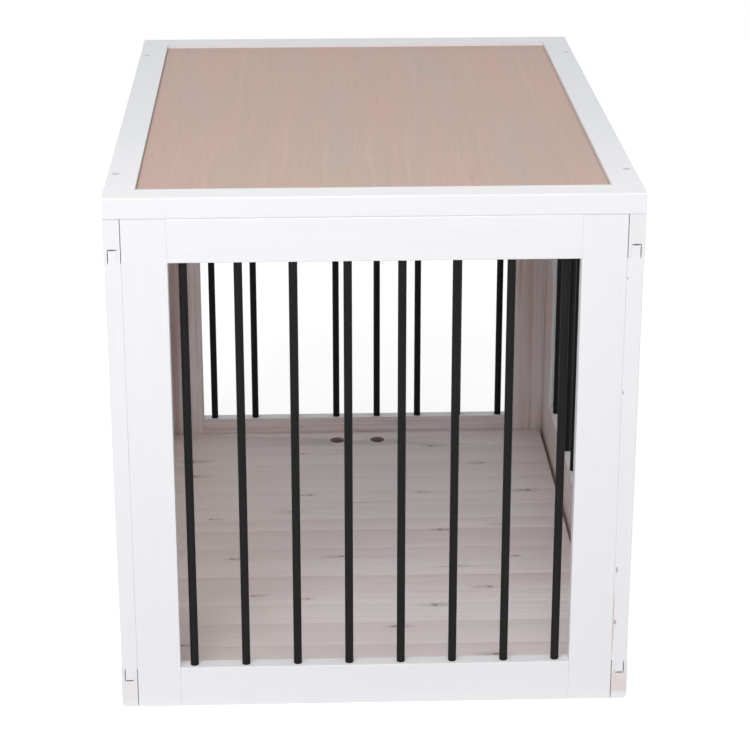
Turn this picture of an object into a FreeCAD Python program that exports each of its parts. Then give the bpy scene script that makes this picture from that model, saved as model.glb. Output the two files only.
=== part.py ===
import FreeCAD, Part
import math
import os

# A dog crate that serves as an end table: a framed board on four barred frames, one door, a lift-out floor.
# Origin: centre of the footprint, on the ground. +Z up, -Y towards the front end, the door is in the +X side.

V = FreeCAD.Vector

# ---- driving dimensions, in millimetres ----
overall_width = 590.0            # across the two side frames
overall_length = 780.0           # front end to back end
overall_height = 618.0           # ground to the top board's face

top_thickness = 24.0
top_end_rail_width = 42.0        # full width, with the ledge under the panel
top_long_rail_width = 42.0
panel_thickness = 9.0
panel_recess = 5.0               # panel face below the frame's face
panel_rebate = 8.0               # width of the ledge that carries the panel
panel_gap = 0.7                  # dark line round the panel

member_width = 50.0              # face width of every frame member except the door's
side_depth = 19.0                # inner face of the stiles to outer face of the rails
rail_relief = 0.7                # side rails lie this far outside the stiles' inner faces
stile_setback = 1.0              # side stiles and door lie this far behind the rails' outer face
end_thickness = 18.0
bottom_round = 5.0               # rounded lower outer edge of the side rails
edge_ease = 1.0                  # eased long edges of all boards
top_ease = 1.6                   # softer edges of the top board

slot_width = 10.0                # open slot in the side rails, and the groove in the door stiles
slot_depth = 16.0
slot_end_gap = 0.9               # left open beyond the tongue
slot_side_gap = 0.1
slot_outer_gap = 0.5             # towards the outer face, where the joint shows at the rail's end

bar_diameter = 9.5
bar_seat = 12.0                  # depth of a bar's hole
bar_fit = 0.05                   # radial clearance of a bar in its hole
bar_end_gap = 0.5
end_bar_pitch = 60.0
side_bar_pitch = 68.5
bar_edge_least = 15.0            # least distance from a stile to the first bar's centre

door_width = 400.0
door_gap = 3.0                   # all round the door
door_stile_width = 42.0
door_rail_height = 40.0
door_groove_depth = 12.0

dowel_diameter = 8.0
dowel_length = 38.0
dowel_fit = 0.05
end_dowel_inset = 11.0           # from a rail's outer edge to its first dowel
end_dowel_spacing = 17.0
top_dowel_inset = 13.0           # from the board's outer edge to the first dowel
top_dowel_spacing = 13.0
top_dowel_height = 7.0           # above the board's underside

plug_diameter = 9.0
plug_thickness = 5.0
plug_sunk = 0.3
plug_from_edge = 9.0
plug_from_end = 97.0
screw_diameter = 4.5
screw_length = 46.0
screw_head_height = 2.8
screw_fit = 0.05

bolt_diameter = 6.0
bolt_head_diameter = 12.0
bolt_head_height = 4.0
bolt_length = 34.0               # under the head
bolt_socket = 4.0                # across the flats
bolt_socket_depth = 2.4
bolt_fit = 0.1
bolt_from_rail = 62.0            # from a rail to the bolt's centre
insert_diameter = 9.0
insert_length = 15.0

floor_thickness = 12.0
floor_top = 28.0                 # height of the floor's face
floor_side_gap = 4.0
floor_end_gap = 2.0
finger_hole_diameter = 19.5
finger_hole_spacing = 59.0
finger_hole_from_end = 33.0      # from the back frame's inner face
cleat_width = 18.0
cleat_thickness = 14.0
cleat_screw_diameter = 4.0
cleat_screw_length = 28.0
cleat_screw_pitch = 320.0
cleat_end_gap = 2.0

hinge_height = 50.0
hinge_leaf_width = 20.0
hinge_leaf_thickness = 1.4
hinge_from_end = 50.0            # from the door's end to the hinge
knuckle_radius = 3.2
knuckle_gap = 0.3
knuckle_relief = 0.4             # between a knuckle and the other leaf
hinge_pin_diameter = 3.4
hinge_pin_fit = 0.05
hinge_screw_inset = 11.0         # from the pin to the screws
hinge_screw_spacing = 32.0
hinge_screw_diameter = 2.8
hinge_screw_head = 5.4
hinge_screw_length = 13.0
pilot_fit = 0.05

latch_height = 297.0             # of the bolt above the ground
latch_plate_length = 40.0
latch_plate_height = 27.0
latch_plate_thickness = 1.2
latch_rod_diameter = 5.5
latch_rod_lift = 0.35            # between rod and plate
latch_guide_length = 6.0
latch_guide_wall = 1.3
latch_fit = 0.08
latch_travel = 17.0
latch_knob_diameter = 5.0
latch_knob_reach = 5.5           # from the rod's centre outwards
latch_screw_diameter = 2.6
latch_screw_head = 4.8
latch_screw_head_height = 1.2
latch_screw_length = 11.0
latch_screw_rise = 9.3           # above and below the rod
keeper_length = 14.0
keeper_from_edge = 2.0
keeper_fit = 0.3

# ---- places that follow from them ----
half_width = overall_width / 2
half_length = overall_length / 2
frame_height = overall_height - top_thickness
inner_x = half_width - side_depth                   # inner faces of the side frames
inner_y = half_length - end_thickness               # inner faces of the end frames
rail_inner_x = inner_x + rail_relief
stile_outer_x = half_width - stile_setback
stile_thickness = stile_outer_x - inner_x
side_mid_x = (inner_x + half_width) / 2             # middle of the slots in the side rails
stile_mid_x = (inner_x + stile_outer_x) / 2         # middle of the door
end_mid_y = half_length - end_thickness / 2
opening_low = member_width                          # lower edge of every frame's opening
opening_high = frame_height - member_width
side_opening_y = half_length - member_width         # side opening runs between plus and minus this
end_opening_x = inner_x - member_width
door_back_y = side_opening_y - door_gap             # hinge edge
door_front_y = door_back_y - door_width             # latch edge
door_low = opening_low + door_gap
door_high = opening_high - door_gap
centre_stile_back_y = door_front_y - door_gap
centre_stile_front_y = centre_stile_back_y - member_width
hinge_pin_y = (door_back_y + side_opening_y) / 2
hinge_pin_x = stile_outer_x + knuckle_radius + 0.2
bar_radius = bar_diameter / 2

nodes = {}


# ---- building blocks ----
def box(x0, x1, y0, y1, z0, z1):
    """A plain block between two values on each axis, given in either order."""
    low = V(min(x0, x1), min(y0, y1), min(z0, z1))
    size = V(abs(x1 - x0), abs(y1 - y0), abs(z1 - z0))
    return Part.makeBox(size.x, size.y, size.z, low)


def long_edges(solid, along):
    """The straight edges that run along axis 0, 1 or 2."""
    found = []
    for edge in solid.Edges:
        way = edge.Vertexes[-1].Point - edge.Vertexes[0].Point
        if way.Length > 0 and abs(way[along]) > 0.999 * way.Length:
            found.append(edge)
    return found


def board(x0, x1, y0, y1, z0, z1, along, ease=edge_ease):
    """A board with its four long edges eased."""
    solid = box(x0, x1, y0, y1, z0, z1)
    return solid.makeFillet(ease, long_edges(solid, along))


def rod(start, way, radius, length):
    """A round rod from a point along a direction."""
    return Part.makeCylinder(radius, length, start, way)


def cut(solid, tools):
    """The solid without the tools."""
    return solid.cut(Part.makeCompound(tools)) if tools else solid


def group(solids):
    """Several separate solids as one node."""
    return Part.makeCompound(solids)


def spread(low, high, pitch, least):
    """Places at a pitch, centred between two ends, none nearer to an end than the least distance."""
    count = int((high - low - 2 * least) / pitch) + 1
    first = (low + high) / 2 - (count - 1) * pitch / 2
    return [first + i * pitch for i in range(count)]


# ---- bars, which stand in holes drilled in the rails below and above ----
def bar_places(low, high, pitch):
    return spread(low, high, pitch, bar_edge_least)


def bars(places, low, high):
    """One upright bar at each (x, y), from its hole in the lower rail to its hole in the upper rail."""
    length = high - low + 2 * bar_seat - bar_end_gap
    return group([rod(V(x, y, low - bar_seat), V(0, 0, 1), bar_radius, length) for x, y in places])


def bar_holes(places, edge, up):
    """Holes that enter a rail at its edge and go on up or down into it."""
    way = V(0, 0, 1 if up else -1)
    return [rod(V(x, y, edge), way, bar_radius + bar_fit, bar_seat) for x, y in places]


# ---- corner bolts: through a side stile into an insert in an end stile ----
def bolt_heights():
    return (opening_low + bolt_from_rail, opening_high - bolt_from_rail)


def bolt_bores_in_side(side, end):
    """The stepped holes through a side stile."""
    y = end * end_mid_y
    way = V(-side, 0, 0)
    tools = []
    for z in bolt_heights():
        seat = V(side * stile_outer_x, y, z)
        tools.append(rod(seat, way, bolt_head_diameter / 2 + bolt_fit, bolt_head_height))
        tools.append(rod(seat, way, bolt_diameter / 2 + bolt_fit, stile_thickness))
    return tools


def bolt_bores_in_end(side, end):
    """The holes in an end stile's outer edge, for the insert and the bolt's tip beyond it."""
    y = end * end_mid_y
    tools = []
    for z in bolt_heights():
        mouth = V(side * inner_x, y, z)
        reach = bolt_length + bolt_head_height - stile_thickness + 1.0
        tools.append(rod(mouth, V(-side, 0, 0), insert_diameter / 2 + bolt_fit / 2, insert_length))
        tools.append(rod(mouth, V(-side, 0, 0), bolt_diameter / 2 + bolt_fit, reach))
    return tools


def corner_bolt(side, end, z):
    """A round flush head with a hexagon socket on a plain shank."""
    seat = V(side * stile_outer_x, end * end_mid_y, z)
    way = V(-side, 0, 0)
    head = rod(seat, way, bolt_head_diameter / 2, bolt_head_height)
    shank = rod(seat, way, bolt_diameter / 2, bolt_head_height + bolt_length)
    corner = bolt_socket / math.sqrt(3)
    points = []
    for i in range(7):
        turn = math.radians(60 * i)
        points.append(seat + V(0, corner * math.cos(turn), corner * math.sin(turn)))
    socket = Part.Face(Part.makePolygon(points)).extrude(way * bolt_socket_depth)
    return head.fuse(shank).cut(socket).removeSplitter()


def corner_insert(side, end, z):
    mouth = V(side * inner_x, end * end_mid_y, z)
    way = V(-side, 0, 0)
    sleeve = rod(mouth, way, insert_diameter / 2, insert_length)
    return sleeve.cut(rod(mouth, way, bolt_diameter / 2 + bolt_fit / 2, insert_length))


CORNERS = [(side, end) for side in (-1, 1) for end in (-1, 1)]
nodes["corner_bolts"] = group([corner_bolt(s, e, z) for s, e in CORNERS for z in bolt_heights()])
nodes["corner_inserts"] = group([corner_insert(s, e, z) for s, e in CORNERS for z in bolt_heights()])


# ---- top board ----
def top_screw_places():
    x = half_width - plug_from_edge
    y = half_length - plug_from_end
    return [(side * x, end * y) for side, end in CORNERS]


screw_head_top = overall_height - plug_sunk - plug_thickness


def top_screw_bores():
    """The counterbore for plug and head, and the clear hole for the shank, down to the screw's tip."""
    tools = []
    for x, y in top_screw_places():
        seat = screw_head_top - screw_head_height
        tools.append(rod(V(x, y, seat), V(0, 0, 1), plug_diameter / 2 + screw_fit, overall_height - seat))
        tip = screw_head_top - screw_length - 1.0
        tools.append(rod(V(x, y, tip), V(0, 0, 1), screw_diameter / 2 + screw_fit, seat - tip))
    return tools


def top_screw(x, y):
    head_low = screw_head_top - screw_head_height
    head = rod(V(x, y, head_low), V(0, 0, 1), plug_diameter / 2 - 0.4, screw_head_height)
    shank = rod(V(x, y, screw_head_top - screw_length), V(0, 0, 1), screw_diameter / 2, screw_length)
    return head.fuse(shank)


def top_dowel_places():
    """Where the long rails meet the end rails: two dowels side by side at each corner."""
    y = half_length - top_end_rail_width
    z = frame_height + top_dowel_height
    places = []
    for side, end in CORNERS:
        for i in range(2):
            x = half_width - top_dowel_inset - i * top_dowel_spacing
            places.append(V(side * x, end * y, z))
    return places


def top_dowels(radius, length):
    """Rods along Y, centred on the joints."""
    return [rod(p - V(0, length / 2, 0), V(0, 1, 0), radius, length) for p in top_dowel_places()]


def top_board():
    ledge = overall_height - panel_recess - panel_thickness
    long_y = half_length - top_end_rail_width
    long_x = half_width - top_long_rail_width
    well = box(-long_x - panel_rebate, long_x + panel_rebate, -long_y - panel_rebate,
               long_y + panel_rebate, ledge, overall_height)
    tools = [well] + top_screw_bores() + top_dowels(dowel_diameter / 2 + dowel_fit, dowel_length + 1.0)
    for name, end in (("front", -1), ("back", 1)):
        rail = board(-half_width, half_width, end * long_y, end * half_length, frame_height,
                     overall_height, 0, top_ease)
        nodes["top_end_rail_" + name] = cut(rail, tools)
    for name, side in (("left", -1), ("right", 1)):
        rail = board(side * long_x, side * half_width, -long_y, long_y, frame_height,
                     overall_height, 1, top_ease)
        nodes["top_long_rail_" + name] = cut(rail, tools)
    edge = panel_rebate - panel_gap
    nodes["top_panel"] = box(-long_x - edge, long_x + edge, -long_y - edge, long_y + edge, ledge,
                             ledge + panel_thickness)
    nodes["top_frame_dowels"] = group(top_dowels(dowel_diameter / 2, dowel_length))
    nodes["top_screws"] = group([top_screw(x, y) for x, y in top_screw_places()])
    nodes["top_screw_plugs"] = group([
        rod(V(x, y, screw_head_top), V(0, 0, 1), plug_diameter / 2, plug_thickness)
        for x, y in top_screw_places()])


top_board()


# ---- floor cleats: battens screwed to the insides of the four bottom rails ----
cleat_top = floor_top - floor_thickness
cleat_low = cleat_top - cleat_thickness
cleat_z = (cleat_low + cleat_top) / 2
long_cleat_y = inner_y - cleat_width - cleat_end_gap    # long cleats stop short of the end cleats


def cleat_screw_places():
    """A point on each cleat's inner face, and the way the screw goes."""
    places = []
    for side in (-1, 1):
        for y in spread(-long_cleat_y, long_cleat_y, cleat_screw_pitch, member_width / 2):
            places.append((V(side * (rail_inner_x - cleat_width), y, cleat_z), V(side, 0, 0)))
    for end in (-1, 1):
        for x in spread(-inner_x, inner_x, cleat_screw_pitch, member_width):
            places.append((V(x, end * (inner_y - cleat_width), cleat_z), V(0, end, 0)))
    return places


def cleat_screw(start, way):
    head = rod(start, way, cleat_screw_diameter, cleat_screw_diameter / 2)
    return head.fuse(rod(start, way, cleat_screw_diameter / 2, cleat_screw_length))


def cleat_screw_bore(start, way):
    head = rod(start, way, cleat_screw_diameter + screw_fit, cleat_screw_diameter / 2)
    shank = rod(start, way, cleat_screw_diameter / 2 + screw_fit, cleat_screw_length + 1.0)
    return head.fuse(shank)


CLEAT_BORES = [cleat_screw_bore(start, way) for start, way in cleat_screw_places()]


def floor():
    x = inner_x - floor_side_gap
    y = inner_y - floor_end_gap
    slab = board(-x, x, -y, y, cleat_top, floor_top, 0)
    holes = []
    for side in (-1, 1):
        centre = V(side * finger_hole_spacing / 2, inner_y - finger_hole_from_end, cleat_top)
        holes.append(rod(centre, V(0, 0, 1), finger_hole_diameter / 2, floor_thickness))
    nodes["floor_panel"] = cut(slab, holes)
    for name, side in (("left", -1), ("right", 1)):
        cleat = box(side * (rail_inner_x - cleat_width), side * rail_inner_x, -long_cleat_y, long_cleat_y,
                    cleat_low, cleat_top)
        nodes["floor_cleat_" + name] = cut(cleat, CLEAT_BORES)
    for name, end in (("front", -1), ("back", 1)):
        cleat = box(-inner_x, inner_x, end * (inner_y - cleat_width), end * inner_y, cleat_low, cleat_top)
        nodes["floor_cleat_" + name] = cut(cleat, CLEAT_BORES)
    nodes["floor_cleat_screws"] = group([cleat_screw(start, way) for start, way in cleat_screw_places()])


floor()


# ---- end frames: stiles with rails dowelled between them ----
def end_dowel_places(end):
    """Two dowels at each of the four joints, one above the other."""
    places = []
    for side in (-1, 1):
        for outer_edge, way in ((0.0, 1), (frame_height, -1)):
            for i in range(2):
                z = outer_edge + way * (end_dowel_inset + i * end_dowel_spacing)
                places.append(V(side * end_opening_x, end * end_mid_y, z))
    return places


def end_dowels(end, radius, length):
    """Rods along X, centred on the joints."""
    return [rod(p - V(length / 2, 0, 0), V(1, 0, 0), radius, length) for p in end_dowel_places(end)]


def end_frame(name, end):
    y0 = end * inner_y
    y1 = end * half_length
    tools = end_dowels(end, dowel_diameter / 2 + dowel_fit, dowel_length + 1.0)
    for side_name, side in (("left", -1), ("right", 1)):
        stile = board(side * end_opening_x, side * inner_x, y0, y1, 0.0, frame_height, 2)
        nodes[name + "_stile_" + side_name] = cut(stile, tools + bolt_bores_in_end(side, end))
    places = [(x, end * end_mid_y) for x in bar_places(-end_opening_x, end_opening_x, end_bar_pitch)]
    rail = board(-end_opening_x, end_opening_x, y0, y1, 0.0, opening_low, 0)
    nodes[name + "_bottom_rail"] = cut(rail, tools + bar_holes(places, opening_low, False) + CLEAT_BORES)
    rail = board(-end_opening_x, end_opening_x, y0, y1, opening_high, frame_height, 0)
    nodes[name + "_top_rail"] = cut(rail, tools + bar_holes(places, opening_high, True))
    nodes[name + "_bars"] = bars(places, opening_low, opening_high)
    nodes[name + "_frame_dowels"] = group(end_dowels(end, dowel_diameter / 2, dowel_length))


end_frame("front", -1)
end_frame("back", 1)


# ---- side frames: full-length rails, slotted for the stiles' tongues ----
def rail_slot(side, y0, y1, edge, up):
    """A slot cut into a rail from the edge that faces the opening."""
    reach = slot_depth if up else -slot_depth
    x = side * side_mid_x
    return box(x - slot_width / 2, x + slot_width / 2, y0, y1, edge, edge + reach)


def side_stile(side, y0, y1):
    """A stile with a tongue at each end, which stops short of its slot's bottom."""
    body = board(side * inner_x, side * stile_outer_x, y0, y1, opening_low, opening_high, 2)
    inner = side * (side_mid_x - slot_width / 2 + slot_side_gap)
    outer = side * (side_mid_x + slot_width / 2 - slot_outer_gap)
    reach = slot_depth - slot_end_gap
    tongues = box(inner, outer, y0, y1, opening_low - reach, opening_high + reach)
    return body.fuse(tongues).removeSplitter()


def side_rail(side, low):
    """A full-length rail. The lower outer edge of the bottom rail is rounded."""
    rail = box(side * rail_inner_x, side * half_width, -half_length, half_length, low, low + member_width)
    edges = long_edges(rail, 1)
    if low > 0:
        return rail.makeFillet(edge_ease, edges)
    lower_outer = [e for e in edges if e.CenterOfMass.z < 1 and abs(e.CenterOfMass.x) > half_width - 1]
    rail = rail.makeFillet(bottom_round, lower_outer)
    rest = [e for e in long_edges(rail, 1) if e.CenterOfMass.z > low + member_width - 1]
    return rail.makeFillet(edge_ease, rest)


def side_frame(name, side, stiles, openings):
    """stiles: name and the two ends along Y. openings: two ends along Y of each stretch of fixed bars."""
    tools_low = list(CLEAT_BORES)
    tools_high = top_screw_bores()
    for stile_name, y0, y1 in stiles:
        solid = side_stile(side, y0, y1)
        if stile_name != "centre_stile":
            solid = cut(solid, bolt_bores_in_side(side, 1 if y0 > 0 else -1))
        nodes[name + "_" + stile_name] = solid
        tools_low.append(rail_slot(side, y0, y1, opening_low, False))
        tools_high.append(rail_slot(side, y0, y1, opening_high, True))
    places = []
    for y0, y1 in openings:
        places += [(side * side_mid_x, y) for y in bar_places(y0, y1, side_bar_pitch)]
    nodes[name + "_bottom_rail"] = cut(side_rail(side, 0.0), tools_low + bar_holes(places, opening_low, False))
    nodes[name + "_top_rail"] = cut(side_rail(side, opening_high), tools_high + bar_holes(places, opening_high, True))
    nodes[name + "_bars"] = bars(places, opening_low, opening_high)


corner_stiles = [("stile_front", -half_length, -side_opening_y), ("stile_back", side_opening_y, half_length)]
centre_stile = ("centre_stile", centre_stile_front_y, centre_stile_back_y)
side_frame("left", -1, corner_stiles, [(-side_opening_y, side_opening_y)])
side_frame("right", 1, corner_stiles + [centre_stile], [(-side_opening_y, centre_stile_front_y)])


# ---- door: grooved stiles, rails with tongues in the grooves, bars ----
def door():
    rail_back = door_back_y - door_stile_width
    rail_front = door_front_y + door_stile_width
    x0 = inner_x
    x1 = stile_outer_x
    half = slot_width / 2
    for name, y0, y1, mouth, into in (("hinge", rail_back, door_back_y, rail_back, 1),
                                      ("latch", door_front_y, rail_front, rail_front, -1)):
        stile = board(x0, x1, y0, y1, door_low, door_high, 2)
        groove = box(stile_mid_x - half, stile_mid_x + half, mouth, mouth + into * door_groove_depth,
                     door_low, door_high)
        nodes["door_" + name + "_stile"] = stile.cut(groove)
    places = [(stile_mid_x, y) for y in bar_places(rail_front, rail_back, side_bar_pitch)]
    reach = door_groove_depth - slot_end_gap
    tongue_half = half - slot_side_gap
    lower_edge = door_low + door_rail_height
    upper_edge = door_high - door_rail_height
    for name, z0, z1, edge, up in (("bottom", door_low, lower_edge, lower_edge, False),
                                   ("top", upper_edge, door_high, upper_edge, True)):
        rail = board(x0, x1, rail_front, rail_back, z0, z1, 1)
        tongue = box(stile_mid_x - tongue_half, stile_mid_x + tongue_half, rail_front - reach,
                     rail_back + reach, z0 + edge_ease, z1 - edge_ease)
        rail = rail.fuse(tongue).removeSplitter()
        nodes["door_" + name + "_rail"] = cut(rail, bar_holes(places, edge, up))
    nodes["door_bars"] = bars(places, lower_edge, upper_edge)


door()


# ---- hinges on the outer faces of the door and the back corner stile ----
hinge_places = {"upper": door_high - hinge_from_end - hinge_height,
                "lower": door_low + hinge_from_end}
knuckle_height = (hinge_height - 2 * knuckle_gap) / 3


def hinge_screw_places(towards):
    """Points on a leaf's outer face. towards is 1 for the frame leaf and -1 for the door leaf."""
    x = stile_outer_x + hinge_leaf_thickness
    y = hinge_pin_y + towards * hinge_screw_inset
    places = []
    for low in hinge_places.values():
        for side in (-1, 1):
            places.append(V(x, y, low + hinge_height / 2 + side * hinge_screw_spacing / 2))
    return places


def hinge_screw(place, more):
    """A countersunk screw, its cone as deep as the leaf is thick. more widens it into its own hole."""
    cone = Part.makeCone(hinge_screw_head / 2 + more, hinge_screw_diameter / 2 + more,
                         hinge_leaf_thickness, place, V(-1, 0, 0))
    shank = rod(place, V(-1, 0, 0), hinge_screw_diameter / 2 + more, hinge_screw_length + 10 * more)
    return cone.fuse(shank)


def hinge_leaf(low, towards, knuckles, spaces):
    """A flat leaf with its knuckles, relieved where the other leaf's knuckles turn."""
    y1 = hinge_pin_y + towards * hinge_leaf_width
    leaf = box(stile_outer_x, stile_outer_x + hinge_leaf_thickness, hinge_pin_y, y1, low, low + hinge_height)
    step = knuckle_height + knuckle_gap
    relief = []
    for i in spaces:
        z = low + i * step
        relief.append(rod(V(hinge_pin_x, hinge_pin_y, z - knuckle_gap), V(0, 0, 1),
                          knuckle_radius + knuckle_relief, knuckle_height + 2 * knuckle_gap))
    leaf = cut(leaf, relief)
    for i in knuckles:
        leaf = leaf.fuse(rod(V(hinge_pin_x, hinge_pin_y, low + i * step), V(0, 0, 1), knuckle_radius,
                             knuckle_height))
    bore = rod(V(hinge_pin_x, hinge_pin_y, low), V(0, 0, 1), hinge_pin_diameter / 2 + hinge_pin_fit,
               hinge_height)
    screws = [hinge_screw(p, pilot_fit) for p in hinge_screw_places(towards)]
    return cut(leaf.removeSplitter(), [bore] + screws)


for hinge, low in hinge_places.items():
    nodes["hinge_frame_leaf_" + hinge] = hinge_leaf(low, 1, (0, 2), (1,))
    nodes["hinge_door_leaf_" + hinge] = hinge_leaf(low, -1, (1,), (0, 2))
    nodes["hinge_pin_" + hinge] = rod(V(hinge_pin_x, hinge_pin_y, low), V(0, 0, 1),
                                      hinge_pin_diameter / 2, hinge_height)
nodes["hinge_frame_screws"] = group([hinge_screw(p, 0.0) for p in hinge_screw_places(1)])
nodes["hinge_door_screws"] = group([hinge_screw(p, 0.0) for p in hinge_screw_places(-1)])
nodes["right_stile_back"] = cut(nodes["right_stile_back"],
                                [hinge_screw(p, pilot_fit) for p in hinge_screw_places(1)])
nodes["door_hinge_stile"] = cut(nodes["door_hinge_stile"],
                                [hinge_screw(p, pilot_fit) for p in hinge_screw_places(-1)])


# ---- barrel bolt on the door's latch stile, keeper on the centre stile; shown drawn back ----
rod_radius = latch_rod_diameter / 2
latch_face_x = stile_outer_x + latch_plate_thickness
rod_x = latch_face_x + latch_rod_lift + rod_radius
latch_front_y = door_front_y + (door_stile_width - latch_plate_length) / 2
latch_back_y = latch_front_y + latch_plate_length
keeper_back_y = centre_stile_back_y - keeper_from_edge
keeper_front_y = keeper_back_y - keeper_length
keeper_mid_y = (keeper_front_y + keeper_back_y) / 2


def guide(y0):
    """A loop round the rod: a block up to the rod's centre with a half round over it."""
    radius = rod_radius + latch_guide_wall
    foot = box(stile_outer_x, rod_x, y0, y0 + latch_guide_length, latch_height - radius, latch_height + radius)
    return foot.fuse(rod(V(rod_x, y0, latch_height), V(0, 1, 0), radius, latch_guide_length))


def latch_screw(place, more):
    """A pan-head screw through the plate. more widens the shank into its own hole."""
    shank = rod(place, V(-1, 0, 0), latch_screw_diameter / 2 + more, latch_screw_length + 10 * more)
    if more > 0:
        return shank
    return shank.fuse(rod(place, V(1, 0, 0), latch_screw_head / 2, latch_screw_head_height))


def latch_screw_places():
    inset = latch_guide_length + latch_screw_head / 2
    places = []
    for y in (latch_front_y + inset, latch_back_y - inset):
        for rise in (-1, 1):
            places.append(V(latch_face_x, y, latch_height + rise * latch_screw_rise))
    return places


def keeper_screw_places():
    return [V(latch_face_x, keeper_mid_y, latch_height + rise * latch_screw_rise) for rise in (-1, 1)]


def latch():
    low = latch_height - latch_plate_height / 2
    high = latch_height + latch_plate_height / 2
    plate = box(stile_outer_x, latch_face_x, latch_front_y, latch_back_y, low, high)
    plate = plate.fuse([guide(latch_front_y), guide(latch_back_y - latch_guide_length)]).removeSplitter()
    bore = rod(V(rod_x, latch_front_y, latch_height), V(0, 1, 0), rod_radius + latch_fit, latch_plate_length)
    nodes["latch_plate"] = cut(plate, [bore] + [latch_screw(p, pilot_fit) for p in latch_screw_places()])
    tail_y = latch_back_y + latch_travel + 1.0
    bolt = rod(V(rod_x, latch_front_y, latch_height), V(0, 1, 0), rod_radius, tail_y - latch_front_y)
    bolt = bolt.makeFillet(0.8, [e for e in bolt.Edges if len(e.Vertexes) == 1])
    knob_y = latch_back_y - latch_guide_length - latch_knob_diameter / 2 - 0.5
    knob = rod(V(rod_x, knob_y, latch_height), V(1, 0, 0), latch_knob_diameter / 2, latch_knob_reach)
    nodes["latch_bolt"] = bolt.fuse(knob)
    plate = box(stile_outer_x, latch_face_x, keeper_front_y, keeper_back_y, low, high)
    plate = plate.fuse(guide(keeper_mid_y - latch_guide_length / 2)).removeSplitter()
    bore = rod(V(rod_x, keeper_front_y, latch_height), V(0, 1, 0), rod_radius + keeper_fit, keeper_length)
    nodes["latch_keeper"] = cut(plate, [bore] + [latch_screw(p, pilot_fit) for p in keeper_screw_places()])
    nodes["latch_screws"] = group([latch_screw(p, 0.0) for p in latch_screw_places()])
    nodes["keeper_screws"] = group([latch_screw(p, 0.0) for p in keeper_screw_places()])
    nodes["door_latch_stile"] = cut(nodes["door_latch_stile"],
                                    [latch_screw(p, pilot_fit) for p in latch_screw_places()])
    nodes["right_centre_stile"] = cut(nodes["right_centre_stile"],
                                      [latch_screw(p, pilot_fit) for p in keeper_screw_places()])


latch()

# ---- one file per node ----
os.makedirs("parts", exist_ok=True)
for node, shape in nodes.items():
    shape.exportStep("parts/" + node + ".step")
print(len(nodes), "nodes,", sum(len(s.Solids) for s in nodes.values()), "solids")
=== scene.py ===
"""Looks of a dog crate that serves as an end table, dressed on its packed model.

It is laid out as a Blender add-on: sizes and colours are properties, and each group of pieces has an
operator.
All lengths are in metres. The front end is at -Y, and the door is in the +X side.
"""

import functools
import math

import bpy
import numpy as np
from bpy.props import FloatProperty, FloatVectorProperty, IntProperty, PointerProperty
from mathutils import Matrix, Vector


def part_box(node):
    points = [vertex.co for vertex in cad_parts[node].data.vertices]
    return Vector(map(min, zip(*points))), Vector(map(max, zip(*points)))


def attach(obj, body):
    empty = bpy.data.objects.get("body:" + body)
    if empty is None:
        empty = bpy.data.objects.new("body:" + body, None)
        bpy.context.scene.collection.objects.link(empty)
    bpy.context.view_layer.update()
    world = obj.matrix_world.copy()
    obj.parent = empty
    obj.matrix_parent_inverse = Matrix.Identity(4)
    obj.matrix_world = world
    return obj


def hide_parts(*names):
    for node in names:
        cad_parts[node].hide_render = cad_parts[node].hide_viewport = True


bl_info = {
    "name": "Dog crate end table",
    "version": (1, 0, 0),
    "blender": (4, 5, 0),
    "location": "3D View > Sidebar > Crate",
    "description": "Dresses the crate's frames, bars, floor, table top and door hardware",
    "category": "Object",
}

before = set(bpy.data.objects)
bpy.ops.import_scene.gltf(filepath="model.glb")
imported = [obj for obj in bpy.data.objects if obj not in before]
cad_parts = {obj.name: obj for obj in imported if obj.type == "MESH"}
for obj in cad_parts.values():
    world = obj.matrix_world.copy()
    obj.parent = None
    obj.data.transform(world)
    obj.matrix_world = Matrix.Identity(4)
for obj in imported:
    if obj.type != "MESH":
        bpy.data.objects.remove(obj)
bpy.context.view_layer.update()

ORIGIN = (0.0, 0.0, 0.0)
INNER_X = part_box("front_stile_right")[1].x       # inner faces of the side frames
INNER_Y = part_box("floor_cleat_back")[1].y        # inner faces of the end frames
HALF_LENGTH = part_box("right_bottom_rail")[1].y
RAIL_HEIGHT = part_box("right_bottom_rail")[1].z
FRAME_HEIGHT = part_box("right_top_rail")[1].z
HOLE_X = 0.0295                                  # finger holes' centres, to each side of the middle
HOLE_Y = INNER_Y - 0.033                         # and in front of the back end's inner face
SKIN = 0.0005                                    # how near a face a position mask reaches
SIDE_X = (INNER_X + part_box("right_bottom_rail")[1].x) / 2     # middle of the side frames' thickness
SLOT_DEPTH = 0.016                               # open slots at the side rails' ends
SLOT_EDGE = 0.005                                # from the slot's middle to its sides
FLOOR_MARGIN = 0.02                              # knots keep this far from the floor's edges
KNOT_CORE = (0.0052, 0.0042)                     # half lengths along and across the grain
KNOT_HALO = (0.026, 0.0070)
KNOT_LEAN = 0.006                                # halo's centre from the knot's, to either side by turns
CRACK = (0.055, 0.0011)
CUTTER_PAST = 0.005                              # how far the holes' cutter reaches past both faces
TONE_SEED, WIDTH_SEED, KNOT_SEED, CRACK_SEED = 7, 3, 11, 5
FRONT_LAMP = (-0.45, -2.15, 2.3)
TOP_LAMP = (0.3, 0.1, 2.6)
LAMP_SIZE = 2.4
LAMP_AIM = (0.0, 0.0, 0.3)
CAMERA_SHIFT = -0.06
GROUND_REACH = 30.0                              # half the side of the ground
GROUND_GLOW = 0.62                               # what brings the lit ground up to white


# ---- properties: what a user would change ----
def colour_property(name, description, default):
    return FloatVectorProperty(name=name, description=description, default=default, subtype="COLOR", size=3,
                               min=0.0, max=1.0)


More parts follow.
